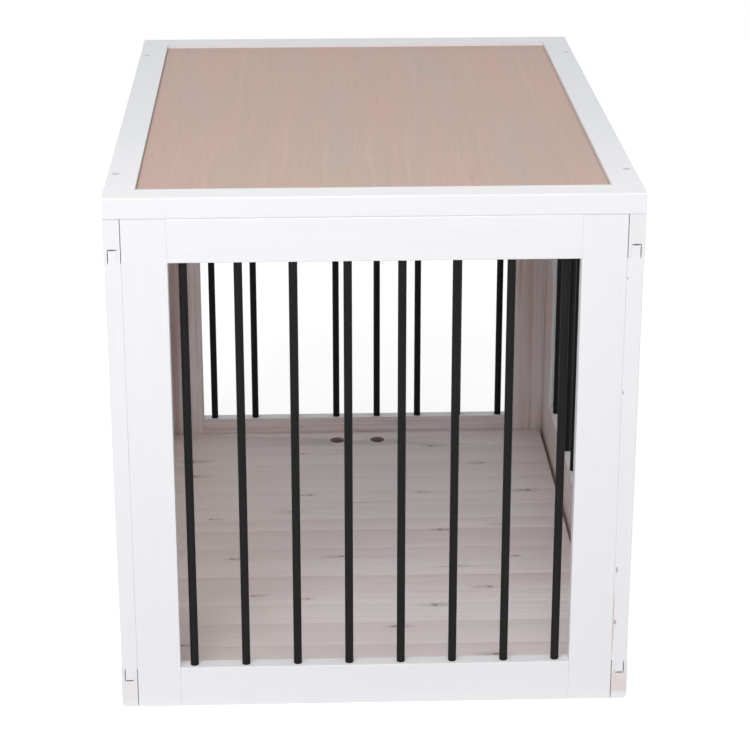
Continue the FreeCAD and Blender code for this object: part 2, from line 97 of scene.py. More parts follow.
class PaintProperties(bpy.types.PropertyGroup):
    """White paint on the frames."""
    colour: colour_property("Paint", "White coat on the frames", (0.890, 0.893, 0.916))
    # Thin paint over pine, also used as the painted shade of the inner faces.
    thin_paint_and_shade: colour_property("Thin paint", "Paint where the pine shows through it", (0.62, 0.475, 0.45))
    end_grain: colour_property("End grain", "Bare pinkish ends of the side rails", (0.77, 0.63, 0.60))
    # Dirt in the chips, and painted shade in the open gaps at the rails' ends.
    chip_dirt_and_gap_shade: colour_property("Joint", "Dirt in chips and open joints", (0.10, 0.085, 0.08))
    # This share also paints the shade inside the crate.
    inside_tint_and_shade: FloatProperty(name="Tint inside", description="How much pine shows on the inner faces",
                               default=0.85, min=0.0, max=1.0, subtype="FACTOR")
    roughness: FloatProperty(name="Roughness", description="Roughness of the paint", default=0.46,
                             min=0.0, max=1.0, subtype="FACTOR")


class VeneerProperties(bpy.types.PropertyGroup):
    """Wood veneer of the table top."""
    colour: colour_property("Veneer", "Pinkish ground of the veneer", (0.575, 0.388, 0.324))
    grey: colour_property("Grey figure", "Greyish bands along the grain", (0.508, 0.397, 0.337))
    dark: colour_property("Pores", "Fine dark lines along the grain", (0.36, 0.245, 0.20))
    pale: colour_property("Pale figure", "Pale flecks along the grain", (0.665, 0.505, 0.43))
    roughness: FloatProperty(name="Roughness", description="Roughness of the clear coat", default=0.5,
                             min=0.0, max=1.0, subtype="FACTOR")


class FloorProperties(bpy.types.PropertyGroup):
    """Floor panel of edge-glued pine strips."""
    colour: colour_property("Whitewash", "Whitewashed pine", (0.90, 0.862, 0.880))
    warm: colour_property("Late wood", "Warmer, darker grain lines", (0.71, 0.625, 0.61))
    # Painted warm shade over the floor's left side.
    left_warm_shade: colour_property("Amber", "Strips where more of the pine shows", (0.80, 0.665, 0.60))
    # Also colours the finger holes' walls, as dark raw pine with painted shade.
    knot_and_hole_shade: colour_property("Knot", "Knots and the streaks beside them", (0.235, 0.175, 0.145))
    strips: IntProperty(name="Strips", description="Pine strips that the panel is glued from", default=16,
                        min=4, max=40)
    knots_across: IntProperty(name="Knots across", description="Knots side by side", default=4, min=1, max=8)
    knots_along: IntProperty(name="Knots along", description="Rows of knots", default=6, min=1, max=12)
    ease: FloatProperty(name="Eased edge", description="Rounding along each strip's edges", default=0.0002,
                        min=0.0, max=0.002, unit="LENGTH")
    hole: FloatProperty(name="Finger hole", description="Radius of a finger hole", default=0.00975,
                        min=0.005, max=0.02, unit="LENGTH")


class BarProperties(bpy.types.PropertyGroup):
    """Round black bars."""
    colour: colour_property("Bar", "Black coat on the bars", (0.009, 0.008, 0.008))
    radius: FloatProperty(name="Radius", description="Radius of a bar", default=0.00475, min=0.003,
                          max=0.008, unit="LENGTH")
    sides: IntProperty(name="Sides", description="Facets round a bar", default=40, min=12, max=96)
    roughness: FloatProperty(name="Roughness", description="Roughness of the black coat", default=0.50,
                             min=0.0, max=1.0, subtype="FACTOR")


class MetalProperties(bpy.types.PropertyGroup):
    """Hinges, latch and fasteners."""
    black: colour_property("Black hardware", "Coat on the hinges and the latch", (0.028, 0.028, 0.030))
    screw: colour_property("Screws", "Black oxide on the hardware's screws", (0.060, 0.060, 0.064))
    zinc: colour_property("Zinc", "Plated bolts and screws", (0.52, 0.52, 0.53))
    beech: colour_property("Dowel", "Beech dowels", (0.60, 0.44, 0.29))
    pine: colour_property("Bare pine", "Battens under the floor", (0.66, 0.50, 0.33))


class StageProperties(bpy.types.PropertyGroup):
    """Camera, lamps and backdrop."""
    lens: FloatProperty(name="Lens", description="Focal length in millimetres", default=107.4, min=20.0,
                        max=300.0)
    eye: FloatVectorProperty(name="Eye", description="Where the camera stands",
                             default=(-0.084, -2.7045, 1.304), subtype="TRANSLATION", unit="LENGTH")
    tilt: FloatProperty(name="Tilt", description="Camera's angle from straight down", subtype="ANGLE",
                        default=math.radians(70.07))
    heading: FloatProperty(name="Heading", description="Camera's turn about the vertical", subtype="ANGLE",
                           default=math.radians(-2.07))
    key: FloatProperty(name="Key lamp", description="Power of the front lamp in watts", default=51.0,
                       min=0.0, max=500.0, unit="POWER")
    fill: FloatProperty(name="Top lamp", description="Power of the overhead lamp in watts", default=2.0,
                        min=0.0, max=500.0, unit="POWER")
    sky: FloatProperty(name="Room light", description="Strength of the even light from all round",
                       default=0.45, min=0.0, max=2.0)


GROUPS = {"crate_paint": PaintProperties, "crate_veneer": VeneerProperties, "crate_floor": FloorProperties,
          "crate_bars": BarProperties, "crate_metal": MetalProperties, "crate_stage": StageProperties}


# ---- node trees written as expressions ----
class Wire:
    """An output socket of a material. Arithmetic on it adds Math nodes."""

    def __init__(self, recipe, socket):
        self.recipe = recipe
        self.socket = socket

    def __getitem__(self, name):
        return Wire(self.recipe, self.socket.node.outputs[name])

    def __add__(self, other):
        return self.recipe.maths("ADD", self, other)

    def __radd__(self, other):
        return self.recipe.maths("ADD", other, self)

    def __mul__(self, other):
        return self.recipe.maths("MULTIPLY", self, other)

    def __rmul__(self, other):
        return self.recipe.maths("MULTIPLY", other, self)

    def __abs__(self):
        return self.recipe.maths("ABSOLUTE", self)

    def __gt__(self, other):
        return self.recipe.maths("GREATER_THAN", self, other)

    def __lt__(self, other):
        return self.recipe.maths("LESS_THAN", self, other)


class Recipe:
    """A material and the nodes that make it."""

    def __init__(self, name):
        self.material = bpy.data.materials.new(name)
        self.material.use_nodes = True
        self.tree = self.material.node_tree
        self.tree.nodes.clear()

    def node(self, kind, settings=None, sockets=None, out=0):
        """Adds a node: its settings first, then the values or wires of its sockets."""
        node = self.tree.nodes.new(kind)
        for key, value in (settings or {}).items():
            setattr(node, key, value)
        for key, value in (sockets or {}).items():
            if isinstance(value, Wire):
                self.tree.links.new(value.socket, node.inputs[key])
            else:
                node.inputs[key].default_value = value
        return Wire(self, node.outputs[out]) if node.outputs else node

    def maths(self, operation, *values, clamp=False):
        settings = {"operation": operation, "use_clamp": clamp}
        return self.node("ShaderNodeMath", settings, dict(enumerate(values)))

    def largest(self, wires):
        """The largest of several values."""
        return functools.reduce(lambda a, b: self.maths("MAXIMUM", a, b), wires)

    def place(self):
        return self.node("ShaderNodeTexCoord")["Object"]

    def axes(self, place):
        """The three coordinates of a place."""
        split = self.node("ShaderNodeSeparateXYZ", None, {0: place})
        return split["X"], split["Y"], split["Z"]

    def noise(self, place, scale, detail=2.0, roughness=0.5, distortion=0.0):
        return self.node("ShaderNodeTexNoise", None, {
            "Vector": place, "Scale": scale, "Detail": detail, "Roughness": roughness,
            "Distortion": distortion})

    def stretch(self, place, along, length, breadth, shift=ORIGIN):
        """Coordinates in which one unit is a length along the grain and a breadth across it."""
        scale = [1.0 / breadth] * 3
        scale[along] = 1.0 / length
        return self.node("ShaderNodeMapping", {"vector_type": "POINT"},
                         {"Vector": place, "Location": shift, "Scale": scale})

    def fibres(self, place, along, length, breadth, detail=3.0, roughness=0.55, distortion=0.0,
               shift=ORIGIN):
        """Noise drawn out along the grain."""
        drawn = self.stretch(place, along, length, breadth, shift)
        return self.noise(drawn, 1.0, detail, roughness, distortion)

    def ramp(self, value, low, high, start=0.0, end=1.0):
        """A value taken from low..high to start..end, held at both ends."""
        return self.node("ShaderNodeMapRange", {"clamp": True}, {
            "Value": value, "From Min": low, "From Max": high, "To Min": start, "To Max": end})

    def mix(self, share, first, second):
        """One colour to another by a share."""
        colours = [c if isinstance(c, Wire) else rgba(c) for c in (first, second)]
        return self.node("ShaderNodeMix", {"data_type": "RGBA", "blend_type": "MIX"},
                         {0: share, 6: colours[0], 7: colours[1]}, out=2)

    def spot(self, place, centre, radii):
        """1 at a centre, falling to 0 at an ellipsoid of the given radii."""
        scale = [1.0 / r for r in radii]
        shift = [-c / r for c, r in zip(centre, radii)]
        inside = self.node("ShaderNodeMapping", {"vector_type": "POINT"},
                           {"Vector": place, "Location": shift, "Scale": scale})
        length = self.node("ShaderNodeVectorMath", {"operation": "LENGTH"}, {0: inside}, out=1)
        return self.maths("SUBTRACT", 1.0, length, clamp=True)

    def finish(self, colour, roughness, height=None, depth=0.0, metallic=0.0, specular=0.5):
        """The surface, with a relief of the given depth in metres. Returns the material."""
        colour = colour if isinstance(colour, Wire) else rgba(colour)
        sockets = {"Base Color": colour, "Roughness": roughness, "Metallic": metallic,
                   "Specular IOR Level": specular}
        if height is not None:
            sockets["Normal"] = self.node("ShaderNodeBump", None, {"Strength": 1.0, "Distance": depth,
                                                                   "Height": height})
        surface = self.node("ShaderNodeBsdfPrincipled", None, sockets)
        self.node("ShaderNodeOutputMaterial", None, {"Surface": surface})
        return self.material


def rgba(colour):
    return (*tuple(colour)[:3], 1.0)


# ---- finishes ----
def painted_pine(name, along):
    """White paint over pine, its grain along axis 0, 1 or 2. The inner faces are thinly painted and darkened
    with painted shade, and the top faces get painted shade away from the front.
    """
    look = bpy.context.scene.crate_paint
    r = Recipe(name)
    place = r.place()
    x, y, z = r.axes(place)
    fibre = r.fibres(place, along, 0.16, 0.0035, 4.0, 0.6)
    bands = r.fibres(place, along, 0.5, 0.016, 2.0, 0.5, 0.4)
    brush = r.fibres(place, along, 0.05, 0.0007, 2.0, 0.6)
    cloud = r.noise(place, 9.0, 2.0)
    figure = r.ramp(fibre * 0.6 + bands * 0.4, 0.42, 0.70)
    # Painted shade: the inner faces are tinted darker and pinker, partly thin paint over pine and partly the
    # shade inside the crate.
    inner = r.maths("MULTIPLY", abs(x) < INNER_X + 3 * SKIN, abs(y) < INNER_Y + SKIN) * (z < FRAME_HEIGHT)
    thin_paint_and_shade = figure * 0.05 + inner * (look.inside_tint_and_shade * (0.55 + figure * 0.9))
    colour = r.mix(thin_paint_and_shade, look.colour, look.thin_paint_and_shade)
    cool, shaded = (0.865, 0.870, 0.90), (0.80, 0.815, 0.85)
    colour = r.mix(r.ramp(cloud, 0.35, 0.75, 0.0, 0.35), colour, cool)
    # Painted shade: the rails' top faces grow greyer away from the front, towards the shaded colour.
    if along < 2:
        away = r.ramp(y, -HALF_LENGTH + 0.02, -0.10)
        top_shade_mask = (z > FRAME_HEIGHT + 4 * SKIN) * away
        colour = r.mix(top_shade_mask * 0.65, colour, shaded)
    if along == 1:
        colour = end_grain(r, place, (x, y, z), colour, look)
    # Painted shade in the gaps at the rails' ends.
    if along > 0:
        colour = slot_gap_shade(r, place, (x, z), colour, look)
    if along == 2:
        colour = chips(r, place, colour, look)
    height = fibre * 0.5 + brush * 0.3 + bands * 0.2
    rough = r.ramp(brush + cloud, 0.7, 1.3, look.roughness - 0.06, look.roughness + 0.07)
    return r.finish(colour, rough, height, 0.00035)


def recess_shaded_plug(name):
    """Paint on the screw plugs, greyed with painted shade for the shallow recess they sit in."""
    look = bpy.context.scene.crate_paint
    r = Recipe(name)
    place = r.place()
    pores = r.noise(place, 1600.0, 3.0)
    # Painted shade: the grey stands for the shadow in the plugs' recess.
    colour = r.mix(r.ramp(pores, 0.35, 0.7, 0.45, 0.8), look.colour, (0.42, 0.43, 0.47))
    return r.finish(colour, r.ramp(pores, 0.3, 0.7, 0.5, 0.62), pores, 0.0002)


def end_grain(r, place, axes, colour, look):
    """The ends of the side rails: pinkish where the paint has soaked in, with curved year rings."""
    x, y, z = axes
    ends = r.maths("GREATER_THAN", abs(y), HALF_LENGTH - SKIN)
    round_y = {"wave_type": "RINGS", "rings_direction": "Y", "wave_profile": "SIN"}
    rings = r.node("ShaderNodeTexWave", round_y, {
        "Vector": r.node("ShaderNodeMapping", {"vector_type": "POINT"},
                         {"Vector": place, "Location": (0.36, 0.0, 0.05)}),
        "Scale": 62.0, "Distortion": 2.2, "Detail": 2.0, "Detail Scale": 1.4}, out=1)
    soaked = r.ramp(r.noise(place, 55.0, 3.0), 0.40, 0.62)
    bare = r.ramp(x, 0.0, 0.1, 0.22, 0.75) * r.ramp(z, 0.042, 0.031, 0.18, 1.0) * r.ramp(z, 0.007, 0.011)
    share = ends * (bare * (0.62 + soaked * 0.22 + rings * 0.12) + 0.04 * rings)
    return r.mix(share, colour, look.end_grain)


def slot_gap_shade(r, place, axes, colour, look):
    """Painted shade: dark, ragged lines in the gaps that are left round the stiles' tongues at the rails'
    ends.
    """
    section = r.node("ShaderNodeCombineXYZ", None, {0: abs(axes[0]), 2: axes[1]})
    lines = []
    for bottom, towards in ((RAIL_HEIGHT - SLOT_DEPTH, 1), (FRAME_HEIGHT - RAIL_HEIGHT + SLOT_DEPTH, -1)):
        for centre, radii in (((SIDE_X, 0.0, bottom + towards * SKIN), (1.25 * SLOT_EDGE, 1.0, 0.0011)),
                              ((SIDE_X + SLOT_EDGE, 0.0, bottom + towards * SLOT_DEPTH / 2),
                               (0.0008, 1.0, 0.62 * SLOT_DEPTH))):
            lines.append(r.spot(section, centre, radii))
    ragged = r.largest(lines) * r.ramp(r.noise(place, 1100.0, 2.0), 0.35, 0.60, 0.8, 2.6)
    return r.mix(r.maths("MINIMUM", ragged, 0.85), colour, look.chip_dirt_and_gap_shade)


def chips(r, place, colour, look):
    """Small dark chips where the corner stiles meet the side frames, and a bare line low on the right."""
    front = -HALF_LENGTH
    marks = []
    for inset, height, half_width, half_height in ((0.0022, 0.167, 0.0013, 0.0050),
                                                   (0.0022, 0.100, 0.0019, 0.0040),
                                                   (0.0010, 0.521, 0.0007, 0.0022),
                                                   (0.0012, 0.386, 0.0009, 0.0024)):
        marks.append(r.spot(place, (INNER_X + inset, front, height), (half_width, 0.003, half_height)))
    ragged = r.largest(marks) * r.ramp(r.noise(place, 900.0, 2.0), 0.3, 0.6, 0.5, 1.7)
    colour = r.mix(r.maths("MINIMUM", ragged, 0.6), colour, look.chip_dirt_and_gap_shade)
    line = r.spot(place, (INNER_X + 0.0003, front, 0.098), (0.0013, 0.003, 0.050))
    return r.mix(r.maths("MINIMUM", line * 2.2, 0.8), colour, look.end_grain)


def wood_veneer(name):
    """Pinkish veneer, its figure along Y: broad grey bands, fine pores and pale flecks."""
    look = bpy.context.scene.crate_veneer
    r = Recipe(name)
    place = r.place()
    warp = r.noise(r.stretch(place, 1, 0.55, 0.11), 1.0, 2.0, 0.5)
    moved = r.node("ShaderNodeVectorMath", {"operation": "MULTIPLY_ADD"},
                   {0: r.node("ShaderNodeCombineXYZ", None, {0: warp}), 1: (0.05, 0.0, 0.0), 2: place})
    bands = r.fibres(moved, 1, 0.9, 0.034, 3.0, 0.55)
    figure = r.fibres(moved, 1, 0.45, 0.0075, 4.0, 0.62)
    fine = r.fibres(moved, 1, 0.10, 0.0011, 3.0, 0.6)
    pores = r.fibres(moved, 1, 0.030, 0.0008, 2.0, 0.5, shift=(3.0, 1.0, 0.0))
    patches = r.fibres(place, 1, 0.30, 0.06, 2.0, 0.5, shift=(7.0, 4.0, 0.0))
    flecks = r.fibres(moved, 1, 0.085, 0.0036, 2.0, 0.5, shift=(2.0, 9.0, 0.0))
    colour = r.mix(r.ramp(bands * 0.55 + patches * 0.45, 0.36, 0.68, 0.0, 0.92), look.colour, look.grey)
    colour = r.mix(r.ramp(figure, 0.54, 0.76, 0.0, 0.26), colour, look.dark)
    colour = r.mix(r.ramp(figure, 0.46, 0.28, 0.0, 0.40), colour, look.pale)
    colour = r.mix(r.ramp(flecks, 0.66, 0.76, 0.0, 0.28), colour, look.dark)
    colour = r.mix(r.ramp(flecks, 0.34, 0.24, 0.0, 0.32), colour, look.pale)
    colour = r.mix(r.ramp(fine, 0.55, 0.80, 0.0, 0.16), colour, look.dark)
    colour = r.mix(r.ramp(pores, 0.70, 0.78, 0.0, 0.50), colour, look.dark)
    rough = r.ramp(figure, 0.3, 0.7, look.roughness + 0.06, look.roughness - 0.05)
    return r.finish(colour, rough, fine * 0.5 + pores * -0.8 + figure * 0.3, 0.00012, specular=0.3)


def scattered(across, along, seed):
    """Places on the floor, one drawn within each cell of a grid, and a size for each: rows of x, y, size."""
    draw = np.random.default_rng(seed)
    column, row = np.meshgrid(np.arange(across), np.arange(along))
    corner = np.stack([column.ravel() / across, row.ravel() / along], -1)
    share = corner + draw.uniform(0.1, 0.9, (across * along, 2)) / (across, along)
    places = (2.0 * share - 1.0) * (INNER_X - FLOOR_MARGIN, INNER_Y - FLOOR_MARGIN)
    return np.column_stack([places, draw.uniform(0.7, 1.3, len(places))])


def washed_floor(name):
    """Whitewashed pine, its grain along X: each strip has its own tone, and lines bend round the knots.
    Painted shade darkens the left side and the finger holes' walls.
    """
    look = bpy.context.scene.crate_floor
    r = Recipe(name)
    tone = r.node("ShaderNodeAttribute", {"attribute_name": "strip"}, out=2)
    shift = r.node("ShaderNodeCombineXYZ", None, {0: tone * 9.0, 1: tone * 3.7, 2: tone * 5.3})
    real = r.place()
    place = r.node("ShaderNodeVectorMath", {"operation": "ADD"}, {0: real, 1: shift})
    wobble = r.noise(real, 260.0, 2.0)
    cores, tails = [], []
    for i, (x, y, size) in enumerate(scattered(look.knots_across, look.knots_along, KNOT_SEED).tolist()):
        lean = (KNOT_LEAN, -KNOT_LEAN)[i % 2]
        cores.append(r.spot(real, (x, y, 0.0), (KNOT_CORE[0] * size, KNOT_CORE[1] * size, 1.0)))
        tails.append(r.spot(real, (x + lean, y, 0.0), (KNOT_HALO[0] * size, KNOT_HALO[1] * size, 1.0)))
    core, halo = r.largest(cores), r.largest(tails)
    crack = r.largest([r.spot(real, (x, y, 0.0), (*CRACK, 1.0))
                       for x, y in scattered(1, 2, CRACK_SEED)[:, :2].tolist()])
    bend = r.noise(r.stretch(place, 0, 0.20, 0.040), 1.0, 1.0) + halo * 0.35
    moved = r.node("ShaderNodeVectorMath", {"operation": "MULTIPLY_ADD"},
                   {0: r.node("ShaderNodeCombineXYZ", None, {1: bend}), 1: (0.0, 0.020, 0.0), 2: place})
    lines = r.fibres(moved, 0, 0.30, 0.0056, 3.0, 0.55)
    bands = r.fibres(moved, 0, 0.45, 0.022, 2.0, 0.5)
    fine = r.fibres(moved, 0, 0.08, 0.0012, 2.0, 0.6)
    patch = r.fibres(place, 0, 0.16, 0.055, 2.0, 0.5)
    # Painted shade: the finger holes' walls take the knot colour, as raw pine in shadow.
    reach = look.hole + SKIN
    hole_wall_shade = r.largest([r.spot(real, (x, HOLE_Y, 0.0), (reach, reach, 1.0)) for x in (-HOLE_X, HOLE_X)])
    across = r.axes(real)[0]
    # Painted shade: the floor turns warmer and darker towards the left side.
    colour = r.mix(r.ramp(across, -0.02, -0.25, 0.10, 0.62), look.colour, look.left_warm_shade)
    colour = r.mix(r.ramp(lines * 0.5 + bands * 0.5, 0.44, 0.70, 0.0, 0.50), colour, look.warm)
    colour = r.mix(r.ramp(tone + patch * 0.6, 0.45, 1.25, 0.0, 0.45), colour, look.warm)
    colour = r.mix(r.ramp(fine, 0.52, 0.78, 0.0, 0.14), colour, look.warm)
    colour = r.mix(halo * r.ramp(lines + wobble, 0.75, 1.15, 0.20, 0.55), colour, look.knot_and_hole_shade)
    heart = core * r.ramp(wobble, 0.3, 0.7, 0.75, 1.4)
    colour = r.mix(r.ramp(heart, 0.15, 0.60, 0.0, 0.62), colour, look.knot_and_hole_shade)
    colour = r.mix(r.maths("MINIMUM", crack * 0.9, 0.5), colour, look.knot_and_hole_shade)
    colour = r.mix(hole_wall_shade > 0.0, colour, look.knot_and_hole_shade)
    return r.finish(colour, r.ramp(lines, 0.3, 0.7, 0.52, 0.62), lines * 0.6 + fine * 0.4, 0.0002)


def black_coat(name, colour, roughness, specular=0.14):
    """Black paint with a faint orange peel and a little dust."""
    r = Recipe(name)
    place = r.place()
    peel = r.noise(place, 1400.0, 2.0)
    dust = r.noise(r.stretch(place, 2, 0.08, 0.010), 1.0, 4.0, 0.65)
    tint = r.mix(r.ramp(dust, 0.45, 0.8, 0.0, 0.30), colour, (0.026, 0.022, 0.022))
    rough = r.ramp(dust, 0.3, 0.7, roughness - 0.05, roughness + 0.09)
    return r.finish(tint, rough, peel, 0.00008, specular=specular)


def zinc_plate(name):
    """Zinc plating: greyish metal, slightly cloudy."""
    look = bpy.context.scene.crate_metal
    r = Recipe(name)
    place = r.place()
    cloud = r.noise(place, 420.0, 3.0)
    colour = r.mix(r.ramp(cloud, 0.35, 0.7), look.zinc, (0.40, 0.40, 0.38))
    rough = r.ramp(cloud, 0.3, 0.7, 0.28, 0.42)
    return r.finish(colour, rough, r.noise(place, 2500.0), 0.00004, metallic=1.0)


def bare_wood(name, colour, along):
    """Unpainted wood with its grain along an axis."""
    r = Recipe(name)
    place = r.place()
    lines = r.fibres(place, along, 0.25, 0.0032, 4.0, 0.6)
    fine = r.fibres(place, along, 0.05, 0.0008, 2.0, 0.6)
    dark = tuple(v * 0.62 for v in colour)
    tint = r.mix(r.ramp(lines * 0.7 + fine * 0.3, 0.40, 0.66, 0.0, 0.8), colour, dark)
    return r.finish(tint, r.ramp(fine, 0.3, 0.7, 0.6, 0.72), fine * 0.5 + lines * 0.5, 0.0002)


FINISHES = {}


def finish_for(name):
    """The named finish, made the first time it is asked for."""
    if name not in FINISHES:
        metal = bpy.context.scene.crate_metal
        bars = bpy.context.scene.crate_bars
        makers = {
            "paint_across": lambda: painted_pine("paint_across", 0),
            "paint_lengthwise": lambda: painted_pine("paint_lengthwise", 1),
            "paint_upright": lambda: painted_pine("paint_upright", 2),
            "plug_paint_shaded": lambda: recess_shaded_plug("plug_paint_shaded"),
            "veneer": lambda: wood_veneer("veneer"),
            "washed_floor": lambda: washed_floor("washed_floor"),
            "bar_black": lambda: black_coat("bar_black", bars.colour, bars.roughness),
            "hardware_black": lambda: black_coat("hardware_black", metal.black, 0.36, 0.45),
            "screw_black": lambda: black_coat("screw_black", metal.screw, 0.30, 0.5),
            "zinc": lambda: zinc_plate("zinc"),
            "beech_across": lambda: bare_wood("beech_across", tuple(metal.beech), 0),
            "beech_lengthwise": lambda: bare_wood("beech_lengthwise", tuple(metal.beech), 1),
            "pine_across": lambda: bare_wood("pine_across", tuple(metal.pine), 0),
            "pine_lengthwise": lambda: bare_wood("pine_lengthwise", tuple(metal.pine), 1),
        }
        FINISHES[name] = makers[name]()
    return FINISHES[name]


def dress(node, finish):
    """Gives a carried-over solid its finish."""
    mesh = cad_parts[node].data
    mesh.materials.clear()
    mesh.materials.append(finish_for(finish))


# ---- surfaces worked out on grids ----
def grid_quads(rows, columns):
    """Quads between neighbouring points of a grid whose last column meets its first."""
    row = np.arange(rows - 1)[:, None] * columns
    here = np.arange(columns)[None, :]
    after = (here + 1) % columns
    corners = [row + here, row + after, row + columns + after, row + columns + here]
    return np.stack(corners, -1).reshape(-1, 4)


def loft(rings):
    """A closed solid through m rings of n points, given as an array m by n by 3: quads between the rings
    and one face over each end. The rings turn anticlockwise about the direction in which they follow each
    other."""
    m, n = rings.shape[:2]
    ends = [list(range(n))[::-1], list(range((m - 1) * n, m * n))]
    return rings.reshape(-1, 3), grid_quads(m, n).tolist() + ends


def turned(profile, sides):
    """Rings of a solid of revolution about Z: point (r cos t, r sin t, z) for each (r, z) of the profile
    and each t."""
    t = np.linspace(0.0, 2.0 * math.pi, sides, endpoint=False)
    r, z = np.asarray(profile, float).T
    return np.stack([r[:, None] * np.cos(t), r[:, None] * np.sin(t), np.repeat(z[:, None], sides, 1)], -1)


def upright(points, foot, length, radius, sides):
    """Bars standing at several (x, y): the turned profile of one bar, moved to each place."""
    soft = radius * 0.12
    profile = [(radius - soft, 0.0), (radius, soft), (radius, length - soft), (radius - soft, length)]
    rings = turned(profile, sides)
    return [loft(rings + np.array([x, y, foot])) for x, y in points]


def crossed_screw(head, drop, rise, shank, length, twist, sides=64):
    """A screw along Z with its head's rim at z = 0: a turned profile runs from the tip up the shank to the
    head. The head's face is z = rise (1 - (r / head)^2.5), and a cross is pressed into it: depth times the
    share by which a point lies inside both an arm's width and an arm's length, each fading over soft."""
    radii = np.linspace(1.0, 0.01, 14) * head
    face = np.stack([radii, rise * (1.0 - (radii / head) ** 2.5)], -1)
    below = [(0.2 * shank, -length), (shank, -length + 2.0 * shank), (shank, -drop),
             (head, -min(drop, 0.0003))]
    rings = turned(np.concatenate([below, face]), sides)
    width, reach, soft, depth = 0.15 * head, 0.62 * head, 0.08 * head, 0.30 * head
    beside = np.sort(np.abs(rings[..., :2]), -1)
    share = np.clip((width - beside[..., 0]) / soft, 0.0, 1.0)
    share *= np.clip((reach - beside[..., 1]) / soft, 0.0, 1.0)
    share[:len(below)] = 0.0
    rings[..., 2] -= depth * share
    turn = np.array([[math.cos(twist), -math.sin(twist)], [math.sin(twist), math.cos(twist)]])
    rings[..., :2] = rings[..., :2] @ turn.T
    return rings


def plank(low, high, ease):
    """A strip along X: its (y, z) section is a rectangle whose four corners are quarter circles of radius
    ease, carried from one end to the other, and drawn in by ease at both ends."""
    turn = np.linspace(0.0, 0.5 * math.pi, 4)
    section = []
    for i, (sy, sz) in enumerate(((1, 1), (-1, 1), (-1, -1), (1, -1))):
        y = (high[1] - ease if sy > 0 else low[1] + ease) + ease * np.cos(turn + 0.5 * math.pi * i)
        z = (high[2] - ease if sz > 0 else low[2] + ease) + ease * np.sin(turn + 0.5 * math.pi * i)
        section.append(np.stack([y, z], -1))
    section = np.concatenate(section)
    middle = section.mean(0)
    half = np.abs(section - middle).max(0)
    rings = []
    for x, inset in ((low[0], ease), (low[0] + ease, 0.0), (high[0] - ease, 0.0), (high[0], ease)):
        drawn = middle + (section - middle) * (1.0 - inset / half)
        rings.append(np.concatenate([np.full((len(section), 1), x), drawn], 1))
    return loft(np.array(rings))


def add_piece(name, solids, finish, body, replaced=()):
    """One object out of several closed solids, each a pair of points and faces."""
    points, faces, start = [], [], 0
    for verts, polygons in solids:
        points.append(verts)
        faces += [[i + start for i in polygon] for polygon in polygons]
        start += len(verts)
    mesh = bpy.data.meshes.new(name)
    mesh.from_pydata(np.concatenate(points).tolist(), [], faces)
    mesh.shade_smooth()
    mesh.set_sharp_from_angle(angle=math.radians(35))
    mesh.materials.append(finish_for(finish))
    piece = bpy.data.objects.new(name, mesh)
    bpy.context.scene.collection.objects.link(piece)
    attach(piece, body)
    if replaced:
        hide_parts(*replaced)
    return piece


# ---- operators: one for each group of pieces ----
class CRATE_OT_frames(bpy.types.Operator):
    """Paint the four frames, the door and the table top's border"""
    bl_idname = "crate.frames"
    bl_label = "Painted frames"

    def execute(self, context):
        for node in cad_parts:
            low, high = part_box(node)
            if node.endswith(("_rail", "_rail_front", "_rail_back", "_rail_left", "_rail_right")):
                dress(node, "paint_across" if high.x - low.x > high.y - low.y else "paint_lengthwise")
            elif "stile" in node:
                dress(node, "paint_upright")
        dress("top_screw_plugs", "plug_paint_shaded")
        return {"FINISHED"}


class CRATE_OT_table_top(bpy.types.Operator):
    """Give the inset panel its veneer"""
    bl_idname = "crate.table_top"
    bl_label = "Table top"

    def execute(self, context):
        dress("top_panel", "veneer")
        return {"FINISHED"}


class CRATE_OT_bars(bpy.types.Operator):
    """Stand round bars in the five barred openings"""
    bl_idname = "crate.bars"
    bl_label = "Bars"
    pitches = {"front_bars": 0.060, "back_bars": 0.060, "left_bars": 0.0685, "right_bars": 0.0685,
               "door_bars": 0.0685}

    def execute(self, context):
        look = context.scene.crate_bars
        for node, pitch in self.pitches.items():
            low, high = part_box(node)
            middle = (np.array(low) + np.array(high)) / 2
            axis = 0 if high.x - low.x > high.y - low.y else 1
            reach = (high[axis] - low[axis]) / 2 - look.radius
            places = np.tile(middle[:2], (round(2 * reach / pitch) + 1, 1))
            places[:, axis] = np.linspace(middle[axis] - reach, middle[axis] + reach, len(places))
            solids = upright(places, low.z, high.z - low.z, look.radius, look.sides)
            body = "door" if node == "door_bars" else "crate"
            add_piece("round_" + node, solids, "bar_black", body, (node,))
        return {"FINISHED"}


